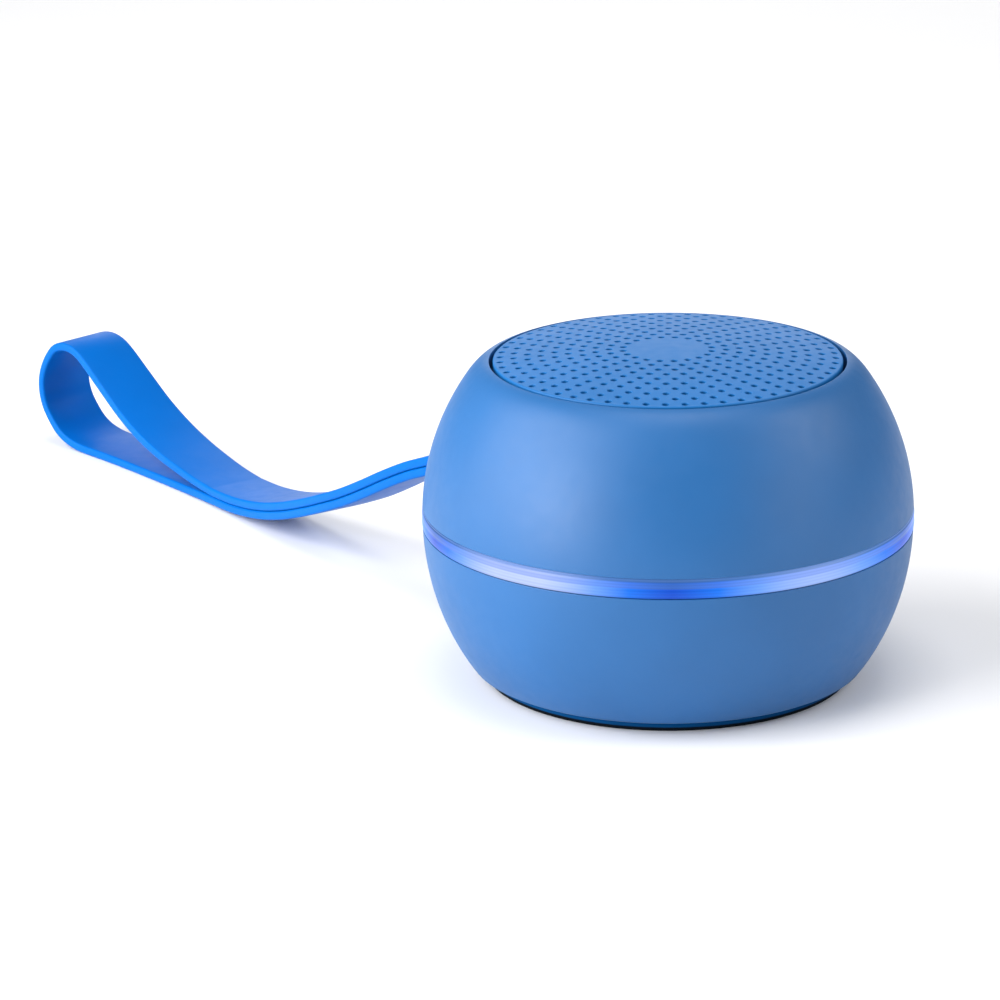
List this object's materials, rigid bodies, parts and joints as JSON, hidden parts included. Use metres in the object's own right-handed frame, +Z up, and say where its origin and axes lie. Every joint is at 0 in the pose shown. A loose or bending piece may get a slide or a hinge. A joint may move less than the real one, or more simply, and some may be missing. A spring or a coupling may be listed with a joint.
{
  "type": "portable bluetooth speaker",
  "caption": "Mini portable Bluetooth speaker with a domed perforated grille, a glowing waist ring, rear push buttons and a silicone wrist strap.",
  "frame": {"origin": "centre of the foot pad's underside, on the body's axis", "axes": "+Z up along the body axis through the grille; +Y to the back, where the controls are; -Y to the front"},
  "size_m": [0.1498, 0.1639, 0.0502],
  "materials": {
    "shell_plastic": "soft-touch matte, fine moulded texture",
    "light_guide": "milky light guide lit blue by six lamps",
    "silicone": "satin silicone",
    "foot_rubber": "matte non-slip rubber",
    "cloth": "woven dust cloth",
    "black_plastic": "black moulded plastic",
    "cone_paper": "black coated paper",
    "surround_rubber": "soft black rubber roll",
    "spider_cloth": "resin-dipped corrugated cloth",
    "steel": "plated steel",
    "ferrite": "dark sintered ferrite",
    "board": "green solder mask",
    "led_white": "white lamp package",
    "white_plastic": "natural nylon",
    "foil": "laminated foil pouch",
    "foam": "closed-cell foam",
    "red_wire": "insulated wire",
    "black_wire": "insulated wire",
    "copper": "enamelled copper winding"
  },
  "bodies": {
    "housing": {"upper_shell": "shell_plastic", "lower_shell": "shell_plastic", "grille": "shell_plastic", "light_ring": "light_guide", "strap_root": "silicone", "foot_pad": "foot_rubber", "grille_cloth": "cloth", "driver_basket": "black_plastic", "driver_terminals": "black_plastic", "amp_chip": "black_plastic", "tact_minus": "black_plastic", "tact_play": "black_plastic", "tact_plus": "black_plastic", "surround": "surround_rubber", "spider": "spider_cloth", "yoke": "steel", "top_plate": "steel", "driver_screw_1": "steel", "driver_screw_2": "steel", "driver_screw_3": "steel", "driver_screw_4": "steel", "case_screw_1": "steel", "case_screw_2": "steel", "case_screw_3": "steel", "board_screw_1": "steel", "board_screw_2": "steel", "board_screw_3": "steel", "strap_pin": "steel", "usb_socket": "steel", "power_switch": "steel", "microphone": "steel", "radio_shield": "steel", "magnet": "ferrite", "main_board": "board", "led_1": "led_white", "led_2": "led_white", "led_3": "led_white", "led_4": "led_white", "led_5": "led_white", "led_6": "led_white", "battery_plug": "white_plastic", "speaker_plug": "white_plastic", "battery": "foil", "battery_foam": "foam", "driver_gasket": "foam", "speaker_wire_red": "red_wire", "battery_wire_red": "red_wire", "speaker_wire_black": "black_wire", "battery_wire_black": "black_wire"},
    "strap": {"strap_loop": "silicone"},
    "minus_button": {"button_minus": "shell_plastic"},
    "play_button": {"button_play": "shell_plastic"},
    "plus_button": {"button_plus": "shell_plastic"},
    "switch_slider": {"switch_knob": "black_plastic"},
    "port_flap": {"usb_flap": "silicone"},
    "diaphragm": {"cone": "cone_paper", "dust_cap": "cone_paper", "voice_coil": "copper"}
  },
  "joints": [
    {"name": "strap_flex", "type": "hinge", "parent": "housing", "child": "strap", "pos_m": [-0.02969, 0.0274, 0.0272], "axis": [0.6782, 0.7349, 0], "range_deg": [-55, 75], "stiffness_Nm_per_rad": 0.02},
    {"name": "play_press", "type": "slide", "parent": "housing", "child": "play_button", "axis": [0.309, -0.9511, 0], "range_m": [0, 0.0005], "stiffness_N_per_m": 1200},
    {"name": "minus_press", "type": "slide", "parent": "housing", "child": "minus_button", "axis": [0.0872, -0.9962, 0], "range_m": [0, 0.0005], "stiffness_N_per_m": 1200},
    {"name": "plus_press", "type": "slide", "parent": "housing", "child": "plus_button", "axis": [0.515, -0.8572, 0], "range_m": [0, 0.0005], "stiffness_N_per_m": 1200},
    {"name": "power_slide", "type": "slide", "parent": "housing", "child": "switch_slider", "axis": [-0.829, 0.5592, 0], "range_m": [0, 0.0024]},
    {"name": "flap_hinge", "type": "hinge", "parent": "housing", "child": "port_flap", "pos_m": [0.00917, 0.03422, 0.01531], "axis": [-0.9659, 0.2588, 0], "range_deg": [0, 105], "stiffness_Nm_per_rad": 0.0004},
    {"name": "cone_travel", "type": "slide", "parent": "housing", "child": "diaphragm", "axis": [0, 0, 1], "range_m": [-0.0008, 0.0008], "stiffness_N_per_m": 2000, "deforming": ["surround", "spider"]}
  ]
}
